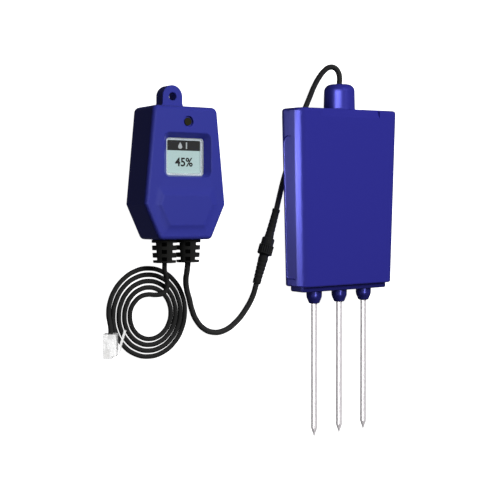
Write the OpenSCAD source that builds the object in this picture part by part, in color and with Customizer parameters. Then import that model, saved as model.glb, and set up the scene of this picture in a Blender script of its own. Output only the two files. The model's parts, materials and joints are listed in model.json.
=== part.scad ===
// Soil moisture sensor: a reader with a small display, a three-pin soil probe and their cords.
// Everything lies on its back on a table. X runs across, Y along the housings, Z up.
// The origin is the centre of the reader's rear face.

/* [Reader] */
// Height of the reader along Y
reader_h = 68; // [64:1:72]
// Width across the shoulders
reader_w = 47.4; // [45:0.2:50]
// Width of the top edge
reader_top_w = 37.4; // [35:0.2:40]
// Width of the bottom edge
reader_bottom_w = 30.6; // [29:0.2:33]
// Distance of the shoulders below the centre
shoulder_drop = 16; // [14:0.5:18]
// Thickness front to back
reader_d = 21.5; // [20.5:0.5:23]
// Wall thickness of both housings
wall = 2.2; // [1.8:0.1:2.4]
// Diameter of the hanging hole
hang_hole_d = 4.2; // [3.5:0.1:5]

/* [Probe] */
// Height of the probe case along Y
case_h = 98; // [94:1:102]
// Case width at the top
case_top_w = 71.8; // [70:0.2:73.6]
// Case width at the bottom
case_bottom_w = 66.6; // [65:0.2:68]
// Case thickness at the top
case_d = 21; // [20:0.5:22]
// Diameter of a soil pin
pin_d = 3.4; // [3:0.1:3.8]
// Free length of a soil pin with its tip
pin_length = 75; // [60:1:90]
// Distance between neighbouring pins
pin_pitch = 18; // [16:0.5:19]
// Diameter of the cable gland
gland_d = 17.6; // [16.6:0.2:18]

/* [Cords] */
// Diameter of the sensor cord
sensor_cord_d = 3.1; // [2.8:0.1:3.2]
// Diameter of the data cord
data_cord_d = 2.5; // [2.2:0.1:2.5]
// Radius of the first turn of the data cord's coil
coil_start_r = 11.25; // [10.75:0.05:11.5]
// How much the coil's radius grows in one turn
coil_pitch = 3.03; // [2.6:0.01:3.03]
// Turns in the coil
coil_turns = 3.75; // [2.75:1:3.75]

/* [Motion] */
// Travel of the push button
button_travel = 0.5; // [0.3:0.05:0.5]

/* [Hidden] */
$fn = 48;

blue = [0.20, 0.19, 0.58];
black = [0.10, 0.10, 0.11];
board_green = [0.05, 0.30, 0.16];

// Reader: the split between the covers is at the height of both strain reliefs.
split_z = reader_d / 2;
half_h = reader_h / 2;
rear_round = 1;
gasket_groove = 0.8;
gasket_t = 0.75;
corner_steps = 6;
panel_x = 1;
button_x = 1.4;
button_y = 26.2;
button_d = 4;
screen = [21.4, 18.6];
screen_y = 8.4;
well_mouth = [27.8, 22.6];
well_mouth_y = 9.2;
window_top = 18.3;
window_t = 1;
frame_t = 0.7;
well_floor = 15.6;
board_z = 9.4;
board_t = 1.6;
boss_r = 2.9;
boss_places = [[13.6, 27], [-13.6, 27], [17.4, -13], [-17.4, -13]];
post_places = [[11, 20], [-11, -18]];
screw_d = 2.5;
tab_r = 5.9;
tab_y = 40;
tab_t = 7.4;
tab_flare = 3;
screw_head = [2.3, 1.8];
screw_slot = [2.6, 0.6];
relief_x = 6.9;
relief_neck_r = 4.5;
relief_length = 12;
relief_r = 6.7;
relief_end_r = 5.9;
relief_pitch = 3.8;
relief_turn = 30;
relief_flange = [6.2, 2];
relief_slot_t = 1.4;
relief_slot_x = 7.3;
relief_window = 2.2;
cord_hole_depth = 4;

// Probe: it lies on its lower right edge and, at the top left, on the sensor cord under it.
probe_place = [104.8, -60.35, 1.1];
probe_lean = [1, 2.1, 0.9];
case_front_r = 5.5;
case_back_r = 7;
case_draft_d = 1.2;
pin_z = 10.5;
gland_h = 14.2;
lip_h = 3;
lip_inset = 2.7;
plate_inset = 2.1;
seal_inset = 3.4;
grip_r = 5.2;
grip_depth = 0.9;
grip_top = 78;
grip_bottom = 4;
grip_z = 9.6;
scoop_w = 48;
gland_r = 4;
gland_neck_r = 5.5;
gland_pocket_r = 3.6;
collar_h = 7;
collar_r = 4.1;
collar_round = 2.4;
stub_r = 1.5;
tip_h = 4.7;

// In-line connector: it lies on the table along its own axis.
connector_start = [54, -59, 4.2];
connector_turn = 72;
sleeve_end = 14.6;
sleeve_groove = [2.2, 0.8];
collar_start = 18.6;
seal_start = 19.4;
seal_t = 0.5;
bore_r = 2.7;
ring_bore_r = 3.18;
contact_r = 0.25;
contact_circle_r = 1;
nut_start = 16.6;
nut_end = 22;
nut_r = 4.1;
ring_end = 26.2;
connector_end = 42.7;
knurls = 20;

// Routes of the cords, as points along their middle lines.
sensor_cord_lower_route = [[6.9, -42, 10.7], [6.9, -46, 10.7], [7, -50, 9.8], [7.8, -55.5, 7],
    [9.8, -61, 4.6], [12.2, -66, 3], [14.3, -71.5, 1.9], [17.3, -77.5, 1.6], [22.1, -82.4, 1.6],
    [28, -84.6, 1.6], [34.8, -84, 1.6], [42, -80, 1.6], [48.4, -73.3, 1.8], [52.1, -66.2, 3.1],
    [54, -59, 4.2], [55.2, -55.3, 4.2]];
sensor_cord_upper_route = [[66, -22.1, 4.2], [67.2, -18.4, 4.2], [70.2, -11, 2.8], [73.6, -2.2, 1.6],
    [76.8, 6.9, 1.6], [79.6, 15.6, 1.6], [82.4, 24, 1.6], [85.5, 32.5, 1.6], [89.5, 40.6, 1.6],
    [91.8, 46, 2.1], [93.3, 51, 3.6], [95, 55.6, 5.6], [97.1, 59.4, 7.8], [99.4, 61.4, 9.8],
    [101.7, 61, 11.6], [103.2, 58.5, 13], [103.6, 55, 13.6], [103.5, 51.7, 13.5],
    [103.6, 46, 13.4], [103.7, 40, 13.3], [103.8, 33.5, 13.2], [103.9, 27.5, 13.1]];
data_cord_lead_route = [[-6.9, -42, 10.7], [-6.9, -46, 10.7], [-6.3, -49.6, 9.6], [-4, -53.4, 6.9],
    [-2.2, -57, 4.8], [-2.2, -60.3, 4], [-4.6, -62.5, 3.6], [-7.9, -63, 2.6], [-11.3, -62.7, 1.6],
    [-15.6, -63.5, 1.3], [-19.3, -66.3, 1.3], [-21.5, -69.6, 1.3], [-22.1, -73.3, 1.3]];
data_cord_tail_route = [[-11.5, -49.1, 1.3], [-18.9, -50.3, 1.3], [-25.6, -54.1, 1.3],
    [-30.8, -59.9, 1.3], [-33.6, -66.2, 1.3], [-34.6, -71.8, 1.9], [-35, -75.8, 3.9],
    [-35.3, -79.1, 5.6], [-35.4, -81.4, 5.85], [-35.4, -84, 5.85]];
coil_centre = [-11, -72.5];

// Modular plug on the data cord: it lies on one edge, rolled about its length, latch towards +X.
plug_t = 6.6;
plug_w = 9.65;
plug_l = 12.3;
plug_place = [-35.4, -81.4, 5.85];
plug_roll = 33;
plug_step = [2.2, 1.1];
contact_pitch = 1.02;
latch_t = 1.1;
latch_w = 3.2;
latch_tilt = 17;
latch_root = 1.2;
latch_l = 12;

// Points of a convex outline with each corner rounded to its own radius.
function corner(a, b, c, r) =
    let (u = (a - b) / norm(a - b), v = (c - b) / norm(c - b), half = acos(u * v) / 2,
         middle = b + (u + v) / norm(u + v) * r / sin(half),
         p = b + u * r / tan(half) - middle, q = b + v * r / tan(half) - middle,
         from = atan2(p[1], p[0]), turn = (atan2(q[1], q[0]) - from + 540) % 360 - 180)
    [for (i = [0:corner_steps])
        middle + r * [cos(from + turn * i / corner_steps), sin(from + turn * i / corner_steps)]];
function rounded(points, radii) =
    let (n = len(points))
    [for (k = [0:n - 1]) each corner(points[(k + n - 1) % n], points[k], points[(k + 1) % n], radii[k])];

// A tube swept along a route: one ring of points at each route point, and two flat end caps.
function along(route, i) =
    let (last = len(route) - 1, d = route[min(i + 1, last)] - route[max(i - 1, 0)])
    d / norm(d);
function ring(route, i, r, sides) =
    let (t = along(route, i), side = cross(t, [0, 0, 1]), u = side / norm(side), v = cross(u, t))
    [for (k = [0:sides - 1]) route[i] + r * (u * cos(360 * k / sides) + v * sin(360 * k / sides))];
module tube(route, d, sides = 8) {
    n = len(route);
    points = [for (i = [0:n - 1]) each ring(route, i, d / 2, sides)];
    walls = [for (i = [0:n - 2]) for (k = [0:sides - 1])
        [i * sides + k, i * sides + (k + 1) % sides,
         (i + 1) * sides + (k + 1) % sides, (i + 1) * sides + k]];
    start_cap = [for (k = [sides - 1:-1:0]) k];
    end_cap = [for (k = [0:sides - 1]) (n - 1) * sides + k];
    polyhedron(points = points, faces = concat([start_cap], walls, [end_cap]), convexity = 10);
}

// Reader outline, a hexagon with a narrow top and a chamfered bottom.
module reader_outline(inset = 0) {
    top = reader_top_w / 2;
    shoulder = reader_w / 2;
    bottom = reader_bottom_w / 2;
    points = rounded([[-top, half_h], [-shoulder, -shoulder_drop], [-bottom, -half_h],
        [bottom, -half_h], [shoulder, -shoulder_drop], [top, half_h]], [3.2, 2.4, 3, 3, 2.4, 3.2]);
    offset(delta = -inset) polygon(points);
}
module reader_slab(z, t, inset = 0) translate([0, 0, z]) linear_extrude(t) reader_outline(inset);
module round_rect(size, r, z, t) translate([0, 0, z]) linear_extrude(t)
    polygon(rounded([[size[0] / 2, size[1] / 2], [-size[0] / 2, size[1] / 2],
        [-size[0] / 2, -size[1] / 2], [size[0] / 2, -size[1] / 2]], [r, r, r, r]));
module at_reliefs() for (side = [-1, 1]) translate([side * relief_x, 0, split_z]) children();
module lengthwise(y, t, r) translate([0, y, 0]) rotate([-90, 0, 0]) cylinder(r = r, h = t);

module relief_holes() at_reliefs() lengthwise(-half_h - 1, wall + 2, relief_neck_r + 0.1);

module raised_panel() hull() {
    translate([0, 0, reader_d - 0.2]) linear_extrude(0.2) polygon([[-16.8, -6.5], [-18.9, -16],
        [-12.2, -29.6], [12.2, -29.6], [18.9, -16], [16.8, -6.5]]);
    translate([0, 0, reader_d - 0.2]) linear_extrude(1.4) polygon([[-13.6, -11], [-15.4, -16.2],
        [-10, -26.8], [10, -26.8], [15.4, -16.2], [13.6, -11]]);
}
module screen_mouth() hull() {
    translate([panel_x, well_mouth_y, 0]) round_rect(well_mouth, 3.4, reader_d, 0.1);
    translate([panel_x, screen_y, 0]) round_rect(screen + [0.5, 0.5], 1.6, window_top, 0.1);
}
module reader_front_cover() color(blue) difference() {
    union() {
        difference() {
            union() {
                hull() {
                    reader_slab(split_z, reader_d - 2 - split_z);
                    reader_slab(reader_d - 1.1, 0.1, 0.35);
                    reader_slab(reader_d - 0.1, 0.1, 1.5);
                }
                raised_panel();
            }
            reader_slab(split_z - 1, reader_d - wall - split_z + 1, wall);
        }
        intersection() {
            translate([panel_x, screen_y + 0.5, 0])
                round_rect([31.6, 26.4], 2.5, well_floor, reader_d - 1 - well_floor);
            reader_slab(well_floor, reader_d - well_floor, 1.6);
        }
        for (p = boss_places) translate([p[0], p[1], split_z])
            cylinder(r = boss_r, h = reader_d - 1.5 - split_z);
    }
    screen_mouth();
    translate([panel_x, screen_y, 0]) round_rect(screen + [0.4, 0.4], 1.5, well_floor - 1, 6);
    translate([panel_x, screen_y, 0]) round_rect(screen + [3, 3], 0.8, well_floor - 1,
        window_top - well_floor + 1);
    translate([button_x, button_y, reader_d - 1.2]) cylinder(r = 2.8, h = 3);
    translate([button_x, button_y, split_z]) cylinder(r = button_d / 2 + 0.05, h = reader_d);
    for (p = boss_places) translate([p[0], p[1], split_z - 1]) cylinder(r = screw_d / 2 + 0.05, h = 7);
    relief_holes();
}

module tab_outline() difference() {
    union() {
        translate([0, tab_y]) circle(tab_r);
        translate([-tab_r, half_h - 3]) square([2 * tab_r, tab_y - half_h + 3]);
        translate([-tab_r - tab_flare, half_h - 3]) square([2 * (tab_r + tab_flare), 3 + tab_flare]);
    }
    for (side = [-1, 1]) translate([side * (tab_r + tab_flare), half_h + tab_flare]) circle(tab_flare);
}
module reader_rear_cover() color(blue) difference() {
    union() {
        difference() {
            hull() {
                reader_slab(0, 0.1, rear_round);
                reader_slab(rear_round, split_z - rear_round);
            }
            reader_slab(2, split_z, wall);
        }
        linear_extrude(tab_t) tab_outline();
        for (p = boss_places) translate([p[0], p[1], 0]) cylinder(r = boss_r, h = split_z);
        for (p = post_places) translate([p[0], p[1], 1]) cylinder(r = 2.2, h = board_z - 1);
    }
    translate([0, tab_y, -1]) cylinder(d = hang_hole_d, h = tab_t + 2);
    for (p = boss_places) translate([p[0], p[1], -1]) {
        cylinder(r = screw_d / 2 + 0.15, h = split_z + 2);
        cylinder(r = 2.5, h = 3.4);
    }
    for (p = post_places) translate([p[0], p[1], board_z - 5]) cylinder(r = 1.05, h = 6);
    gasket_ring(split_z - gasket_groove, gasket_groove + 0.1, 0);
    relief_holes();
}
module gasket_ring(z, t, shrink) translate([0, 0, z]) linear_extrude(t) difference() {
    reader_outline(0.6 + shrink);
    reader_outline(1.6 - shrink);
}
module reader_gasket() color(black) difference() {
    gasket_ring(split_z - gasket_t, gasket_t, 0.05);
    relief_holes();
}

module display_window() color([0.8, 0.85, 0.85, 0.4]) translate([panel_x, screen_y, 0])
    round_rect(screen + [2.8, 2.8], 0.7, window_top - window_t, window_t);
module display_frame() color("white") translate([panel_x, screen_y, 0]) difference() {
    round_rect(screen + [2.8, 2.8], 0.7, window_top - window_t - frame_t, frame_t);
    round_rect(screen - [1.7, 1.7], 0.8, window_top - window_t - frame_t - 1, frame_t + 2);
}
module display_panel() color([0.7, 0.78, 0.76]) translate([panel_x, screen_y, 0])
    round_rect(screen + [2.4, 2.4], 0.4, well_floor - 1, window_top - window_t - frame_t - well_floor + 1);

module main_board() color(board_green) difference() {
    translate([-14, -21, board_z]) cube([28, 44, board_t]);
    for (p = post_places) translate([p[0], p[1], board_z - 1]) cylinder(r = 1.2, h = 4);
}
module main_board_parts() color([0.12, 0.12, 0.13]) translate([0, 0, board_z + board_t]) {
    translate([-3.5, 3, 0]) cube([7, 7, 1.2]);
    translate([-11, 10, 0]) cube([5, 4, 1.4]);
    translate([6, -4, 0]) cube([4, 5, 1.6]);
    for (x = [-8.7, 2]) translate([x, -20.5, 0]) cube([7.5, 5, 5]);
    translate([-10, 0.5, 0]) cylinder(r = 2, h = 3);
    translate([panel_x - 8, screen_y + 8.4, 0]) cube([16, 2, 3.4]);
}
module tactile_switch() color([0.2, 0.2, 0.2]) translate([button_x, button_y, 0]) {
    translate([-3, -6.6, board_z + board_t]) cube([6, 6.6, 0.6]);
    translate([-3, -3, board_z + board_t + 0.6]) cube([6, 6, 2.6]);
    translate([0, 0, board_z + board_t + 3.2]) cylinder(r = 1.6, h = 1);
}
module button_cap() color([0.22, 0.22, 0.14]) translate([button_x, button_y, 0]) {
    translate([0, 0, board_z + board_t + 4.2 + button_travel + 0.1]) cylinder(d = button_d, h = 5.1);
    translate([0, 0, 17.9]) cylinder(r = 3.1, h = 1.3);
}
module cover_screws() color("silver") for (p = boss_places) translate([p[0], p[1], 0]) difference() {
    union() {
        translate([0, 0, 0.5]) cylinder(r = screw_head[0], h = screw_head[1]);
        translate([0, 0, 2.3]) cylinder(d = screw_d, h = 14.4 - 2.3);
    }
    translate([-screw_slot[0] / 2, -screw_slot[1] / 2, 0]) cube([screw_slot[0], screw_slot[1], 1.4]);
    translate([-screw_slot[1] / 2, -screw_slot[0] / 2, 0]) cube([screw_slot[1], screw_slot[0], 1.4]);
}
module board_screws() color("silver") for (p = post_places) translate([p[0], p[1], 0]) difference() {
    union() {
        translate([0, 0, board_z + board_t]) cylinder(r = 1.9, h = 1.3);
        translate([0, 0, board_z - 4]) cylinder(r = 1, h = 4 + board_t);
    }
    translate([-1.2, -0.25, board_z + board_t + 0.6]) cube([2.4, 0.5, 1]);
}

// Slotted strain relief: flange inside the housing, neck in the wall, ribbed cone outside.
module strain_relief(side, cord_d) color(black) translate([side * relief_x, 0, split_z]) difference() {
    union() {
        lengthwise(-half_h + wall + 0.1, relief_flange[1], relief_flange[0]);
        lengthwise(-half_h - 0.1, wall + 0.3, relief_neck_r);
        translate([0, -half_h - 0.1, 0]) rotate([90, 0, 0])
            cylinder(r1 = relief_r, r2 = relief_end_r, h = relief_length - 0.1);
    }
    for (k = [0:2]) translate([0, -half_h - 2.4 - k * relief_pitch, 0]) rotate([0, -relief_turn, 0]) {
        for (s = [-1, 1]) translate([s * relief_slot_x - 3, -relief_slot_t / 2, -8])
            cube([6, relief_slot_t, 16]);
        for (s = [-1, 1]) translate([-relief_window / 2, -1.1, s * 5.6 - 2])
            cube([relief_window, relief_slot_t, 4]);
    }
    lengthwise(-half_h - relief_length - 1, cord_hole_depth + 1, cord_d / 2 + 0.1);
}
module data_strain_relief() strain_relief(-1, data_cord_d);
module sensor_strain_relief() strain_relief(1, sensor_cord_d);

module on_connector(s) translate(connector_start) rotate([0, 0, connector_turn]) rotate([0, 90, 0])
    translate([0, 0, s]) children();
module rod(s, length, r) on_connector(s) cylinder(r = r, h = length);
module contact_holes(s, length, r) for (k = [0:3])
    on_connector(s) rotate([0, 0, 90 * k]) translate([contact_circle_r, 0, 0]) cylinder(r = r, h = length);
module connector_lower_sleeve() color(black) difference() {
    on_connector(0) cylinder(r1 = 2.2, r2 = 2.75, h = sleeve_end);
    rod(-1, 5, sensor_cord_d / 2 + 0.1);
    for (k = [0:4]) on_connector(3 + sleeve_groove[0] * k) difference() {
        cylinder(r = 3, h = sleeve_groove[1]);
        translate([0, 0, -1]) cylinder(r = 2, h = 3);
    }
}
module connector_plug() color(black) difference() {
    union() {
        rod(sleeve_end, 6.8, 1.9);
        rod(sleeve_end, 4.6, bore_r - 0.1);
        rod(collar_start, seal_start - collar_start, ring_bore_r - 0.08);
    }
    contact_holes(sleeve_end - 0.1, 8, contact_r + 0.05);
}
module coupling_nut() color(black) difference() {
    rod(nut_start, nut_end - nut_start, nut_r);
    rod(nut_start - 1, 8, bore_r);
    rod(collar_start - 0.1, 5, ring_bore_r);
    for (k = [0:knurls - 1]) on_connector(nut_start + 0.7) rotate([0, 0, 360 * k / knurls])
        translate([nut_r, 0, 0]) cylinder(r = 0.28, h = 4, $fn = 16);
}
module connector_seal() color([0.5, 0.1, 0.1]) difference() {
    rod(seal_start, seal_t, ring_bore_r - 0.13);
    rod(19, 2, 1.95);
}
module connector_contacts() color("gold") contact_holes(sleeve_end + 0.4, 9, contact_r);
module connector_socket() color(black) difference() {
    union() {
        rod(seal_start + seal_t, 3, ring_bore_r - 0.08);
        rod(nut_end + 0.1, ring_end - nut_end - 0.1, 3.25);
    }
    rod(19, 3.2, 2);
    contact_holes(19, 6, contact_r + 0.05);
}
module connector_upper_sleeve() color(black) difference() {
    union() {
        rod(ring_end, connector_end - ring_end, 1.95);
        rod(ring_end, 1.2, 2.4);
    }
    rod(connector_end - cord_hole_depth, 5, sensor_cord_d / 2 + 0.1);
}
module sensor_cord_lower() color(black) tube(sensor_cord_lower_route, sensor_cord_d);
module sensor_cord_upper() color(black) tube(sensor_cord_upper_route, sensor_cord_d);

module in_probe() translate(probe_place) rotate(probe_lean) children();
// A slice of the case across Y: inset shrinks it all round.
module case_slice(y, t, width, depth, inset = 0) {
    half = width / 2 - inset;
    front_r = max(case_front_r - inset, 0.5);
    back_r = max(case_back_r - inset, 0.5);
    translate([0, y + t, 0]) rotate([90, 0, 0]) linear_extrude(t)
        polygon(rounded([[half, inset], [half, depth - inset], [-half, depth - inset], [-half, inset]],
            [back_r, front_r, front_r, back_r]));
}
bottom_d = case_d - case_draft_d;
module case_block() hull() {
    case_slice(0, 0.1, case_bottom_w, bottom_d);
    case_slice(case_h - 2.2, 0.1, case_top_w, case_d);
    case_slice(case_h - 0.8, 0.1, case_top_w, case_d, 0.35);
    case_slice(case_h - 0.1, 0.1, case_top_w, case_d, 1.3);
}
// Long shallow grip hollow in a side wall, with a round top end.
module side_grip(side) translate([side * case_bottom_w / 2, 0, grip_z])
    rotate([0, 0, -side * atan((case_top_w - case_bottom_w) / 2 / case_h)])
    translate([side > 0 ? -grip_depth : grip_depth - 5, 0, 0]) rotate([90, 0, 90]) linear_extrude(5) union() {
        translate([grip_top, 0]) circle(grip_r);
        translate([grip_bottom, -grip_r]) square([grip_top - grip_bottom, 2 * grip_r]);
    }
module probe_case() color(blue) in_probe() difference() {
    case_block();
    hull() {
        case_slice(-1, 0.5, case_bottom_w, bottom_d, 2);
        case_slice(case_h - wall - 0.5, 0.5, case_top_w, case_d, 2);
    }
    side_grip(-1);
    side_grip(1);
    translate([-scoop_w / 2, 0, 0]) rotate([90, 0, 90]) linear_extrude(scoop_w)
        polygon([[case_h - 4.5, case_d + 0.1], [case_h - 3.6, case_d - 0.4], [case_h + 1, case_d - 1.3],
            [case_h + 1, case_d + 1]]);
    translate([0, 0, pin_z]) lengthwise(case_h - 5, 10, gland_neck_r + 0.1);
}
module cable_gland() color(blue) in_probe() translate([0, case_h, pin_z]) rotate([-90, 0, 0]) difference() {
    union() {
        cylinder(r = gland_d / 2, h = gland_h - gland_r);
        translate([0, 0, gland_h - gland_r]) rotate_extrude() union() {
            square([gland_d / 2 - gland_r, gland_r]);
            intersection() {
                translate([gland_d / 2 - gland_r, 0]) circle(gland_r);
                translate([gland_d / 2 - gland_r, 0]) square(gland_r);
            }
        }
        translate([0, 0, -8]) cylinder(r = gland_neck_r, h = 8.1);
    }
    translate([0, 0, -9]) cylinder(r = sensor_cord_d / 2 + 0.25, h = gland_h + 10);
    translate([0, 0, -2]) cylinder(r = gland_pocket_r, h = 11);
}
module gland_seal() color(black) in_probe() translate([0, case_h - 1.9, pin_z]) rotate([-90, 0, 0])
    difference() {
        cylinder(r = gland_pocket_r - 0.05, h = 10.7);
        translate([0, 0, -1]) cylinder(r = sensor_cord_d / 2 + 0.25, h = 14);
    }
module gland_nut() color(black) in_probe() translate([0, case_h - wall - 4.1, pin_z]) rotate([-90, 0, 0])
    difference() {
        cylinder(r = 8, h = 4, $fn = 6);
        translate([0, 0, -1]) cylinder(r = gland_neck_r + 0.1, h = 6);
    }
module base_plate() color(blue) in_probe() difference() {
    union() {
        case_slice(-lip_h, lip_h + 0.2, case_bottom_w, bottom_d, lip_inset);
        case_slice(0.2, 1.8, case_bottom_w, bottom_d, plate_inset);
        case_slice(2, 1.6, case_bottom_w, bottom_d, seal_inset);
        case_slice(3.6, 2.4, case_bottom_w, bottom_d, plate_inset);
    }
    for (k = [-1:1]) translate([k * pin_pitch, 0, pin_z]) lengthwise(-lip_h - 1, 12, stub_r + 0.05);
}
module base_seal() color([0.15, 0.15, 0.15]) in_probe() difference() {
    case_slice(2.1, 1.4, case_bottom_w, bottom_d, plate_inset - 0.05);
    case_slice(1, 4, case_bottom_w, bottom_d, seal_inset - 0.05);
}
module pin_collars() color(blue) in_probe() for (k = [-1:1])
    translate([k * pin_pitch, -lip_h, pin_z]) rotate([90, 0, 0]) difference() {
        rotate_extrude() union() {
            square([collar_r, collar_h - collar_round]);
            translate([0, collar_h - collar_round - 0.1]) square([collar_r - collar_round, collar_round + 0.1]);
            translate([collar_r - collar_round, collar_h - collar_round]) intersection() {
                circle(collar_round);
                square(collar_round);
            }
        }
        translate([0, 0, -1]) cylinder(r = stub_r + 0.05, h = 12);
    }
module soil_pin(k) color([0.75, 0.75, 0.77]) in_probe()
    translate([k * pin_pitch, -lip_h - collar_h, pin_z]) rotate([90, 0, 0]) {
        translate([0, 0, -24]) cylinder(r = stub_r, h = 24.1);
        cylinder(d = pin_d, h = pin_length - tip_h);
        translate([0, 0, pin_length - tip_h]) cylinder(d1 = pin_d, d2 = 0.3, h = tip_h);
    }
module pin_left() soil_pin(-1);
module pin_centre() soil_pin(0);
module pin_right() soil_pin(1);
module pin_terminals() color("gold") in_probe() for (k = [-1:1]) translate([k * pin_pitch, 0, 0]) {
    difference() {
        translate([-2.6, 8, 7.9]) cube([5.2, 7, 5.2]);
        translate([0, 0, pin_z]) lengthwise(7, 7.05, stub_r + 0.02);
    }
    translate([-1.5, 14.9, 8.4]) cube([3, 6, 1.1]);
}
module potting_block() color([0.08, 0.08, 0.09]) in_probe() difference() {
    case_slice(6.1, 8, case_bottom_w, bottom_d, 2.3);
    for (k = [-1:1]) translate([k * pin_pitch, 0, 0]) {
        translate([-2.65, 7.9, 7.85]) cube([5.3, 8, 5.3]);
        translate([0, 0, pin_z]) lengthwise(5, 4, stub_r + 0.05);
    }
}
module probe_board() color(board_green) in_probe() translate([-24, 16, 9.5]) cube([48, 66, 1.6]);
module probe_board_parts() color([0.12, 0.12, 0.13]) in_probe() translate([0, 0, 11.1]) {
    translate([-5, 45, 0]) cube([10, 10, 1.6]);
    translate([-16, 58, 0]) cube([6, 5, 1.5]);
    translate([10, 34, 0]) cube([5, 3.4, 1.3]);
    translate([12, 60, 0]) cylinder(r = 3, h = 4);
    translate([-20, 30, 0]) cube([4, 7, 2]);
    translate([-18, 71, 0]) cube([12, 6, 5]);
}

module data_cord_lead() color(black) tube(data_cord_lead_route, data_cord_d);
module data_cord_tail() color(black) tube(data_cord_tail_route, data_cord_d);
// The outer turn is never a whole turn at its full radius, so the ring is a quarter turn's growth smaller.
module data_cord_coil() color(black) translate(concat(coil_centre, [0])) rotate_extrude() {
    last_r = coil_start_r + coil_pitch * (coil_turns - 0.25);
    translate([coil_start_r, 0]) square([last_r - coil_start_r, data_cord_d]);
    for (r = [coil_start_r, last_r]) translate([r, data_cord_d / 2]) circle(d = data_cord_d);
}

module in_plug() translate(plug_place) rotate([0, -plug_roll, 0]) children();
module network_plug_body() color([0.85, 0.88, 0.88, 0.5]) in_plug() difference() {
    translate([-plug_t / 2, -plug_l, -plug_w / 2]) cube([plug_t, plug_l, plug_w]);
    translate([plug_t / 2 - plug_step[0], -plug_l - 1, -plug_w]) cube([3, plug_step[1] + 1, 2 * plug_w]);
    lengthwise(-3, 4, data_cord_d / 2 + 0.15);
    for (k = [0:5]) translate([-plug_t / 2 - 1, -plug_l - 1, (k - 2.5) * contact_pitch - 0.25])
        cube([3.4, 5, 0.5]);
    translate([-plug_t / 2 - 1, -8.3, 1.6 - plug_w / 2]) cube([2.2, 3.6, plug_w - 3.2]);
}
module network_plug_contacts() color("gold") in_plug() for (k = [0:5])
    translate([-plug_t / 2 + 0.35, -plug_l + 0.3, (k - 2.5) * contact_pitch - 0.2]) cube([2, 3.6, 0.4]);
module network_plug_latch() color([0.85, 0.88, 0.88, 0.5]) in_plug()
    translate([plug_t / 2 + 0.1 + latch_t / 2, -plug_l + 1.4 + latch_root, -latch_w / 2])
    linear_extrude(latch_w) union() {
        circle(d = latch_t);
        rotate(-latch_tilt) translate([-latch_t / 2, 0]) square([latch_t, latch_l]);
    }

reader_front_cover();
reader_rear_cover();
reader_gasket();
display_window();
display_frame();
display_panel();
main_board();
main_board_parts();
button_cap();
tactile_switch();
cover_screws();
board_screws();
data_strain_relief();
sensor_strain_relief();
sensor_cord_lower();
connector_lower_sleeve();
connector_plug();
coupling_nut();
connector_seal();
connector_contacts();
connector_socket();
connector_upper_sleeve();
sensor_cord_upper();
probe_case();
cable_gland();
gland_nut();
gland_seal();
base_plate();
base_seal();
pin_collars();
pin_left();
pin_centre();
pin_right();
pin_terminals();
potting_block();
probe_board();
probe_board_parts();
data_cord_lead();
data_cord_coil();
data_cord_tail();
network_plug_body();
network_plug_contacts();
network_plug_latch();
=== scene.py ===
"""Looks of the soil moisture sensor: finer pieces, cords, materials, light and camera.

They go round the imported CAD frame. Shapes are made in millimetres with the same origin and axes
as part.scad, and turned into metres when a piece is made.
"""

import json
import math

import bmesh
import bpy
from mathutils import Matrix, Vector


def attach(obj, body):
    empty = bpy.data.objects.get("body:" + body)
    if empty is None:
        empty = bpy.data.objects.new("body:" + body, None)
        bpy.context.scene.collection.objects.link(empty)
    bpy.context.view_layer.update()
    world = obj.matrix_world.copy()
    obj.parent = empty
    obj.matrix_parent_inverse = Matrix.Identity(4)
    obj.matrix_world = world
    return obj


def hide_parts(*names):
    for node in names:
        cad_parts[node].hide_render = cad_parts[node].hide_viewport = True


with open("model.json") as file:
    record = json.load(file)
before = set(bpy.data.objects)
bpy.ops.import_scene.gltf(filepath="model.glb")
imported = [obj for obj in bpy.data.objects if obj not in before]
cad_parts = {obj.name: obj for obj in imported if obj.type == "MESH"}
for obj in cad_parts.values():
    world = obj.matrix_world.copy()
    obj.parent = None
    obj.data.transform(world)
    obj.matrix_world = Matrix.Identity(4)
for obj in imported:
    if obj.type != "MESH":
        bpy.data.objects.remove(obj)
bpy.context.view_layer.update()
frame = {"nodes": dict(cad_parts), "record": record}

METRES = Matrix.Scale(0.001, 4)
HERE = Matrix.Identity(4)
SHARP_ANGLE = math.radians(38)

# Dimensions repeated from part.scad, in millimetres.
READER_D = 21.5
SPLIT_Z = READER_D / 2
HALF_H = 34
READER_HALF_W = 23.7
READER_TOP_HALF_W = 18.7
READER_BOTTOM_HALF_W = 15.3
SHOULDER_Y = -16
WALL = 2.2
PANEL_X = 1
SCREEN = (21.4, 18.6)
SCREEN_Y = 8.4
WELL_MOUTH = (27.8, 22.6)
WELL_MOUTH_Y = 9.2
WELL_FLOOR = 15.6
WINDOW_TOP = 18.3
PANEL_TOP = 16.6
BUTTON = (1.4, 26.2)
BOSSES = [(13.6, 27), (-13.6, 27), (17.4, -13), (-17.4, -13)]
POSTS = [(11, 20), (-11, -18)]
BOARD_Z = 9.4
TAB_R = 5.9
TAB_Y = 40
TAB_T = 7.4
TAB_FLARE = 3
HANG_HOLE_R = 2.1
RELIEF_X = 6.9
RELIEF_TURN = math.radians(30)
RELIEF_L = 11.9
RELIEF_R = 6.7
RELIEF_END_R = 5.9
RELIEF_NECK_R = 4.5
RELIEF_PITCH = 3.8
CASE_H = 98
CASE_TOP = (71.8, 21)
CASE_BOTTOM = (66.6, 19.8)
CASE_FRONT_R = 5.5
CASE_BACK_R = 7
PIN_Z = 10.5
PIN_PITCH = 18
LIP_H = 3
PIN_XS = [k * PIN_PITCH for k in (-1, 0, 1)]
GRIP_HALF_W = 5.2
GRIP_DEPTH = 0.9
GRIP_Z = 9.6
GLAND_NECK_R = 5.5
GLAND_H = 14.2
SENSOR_CORD_D = 3.1
DATA_CORD_D = 2.5
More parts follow.
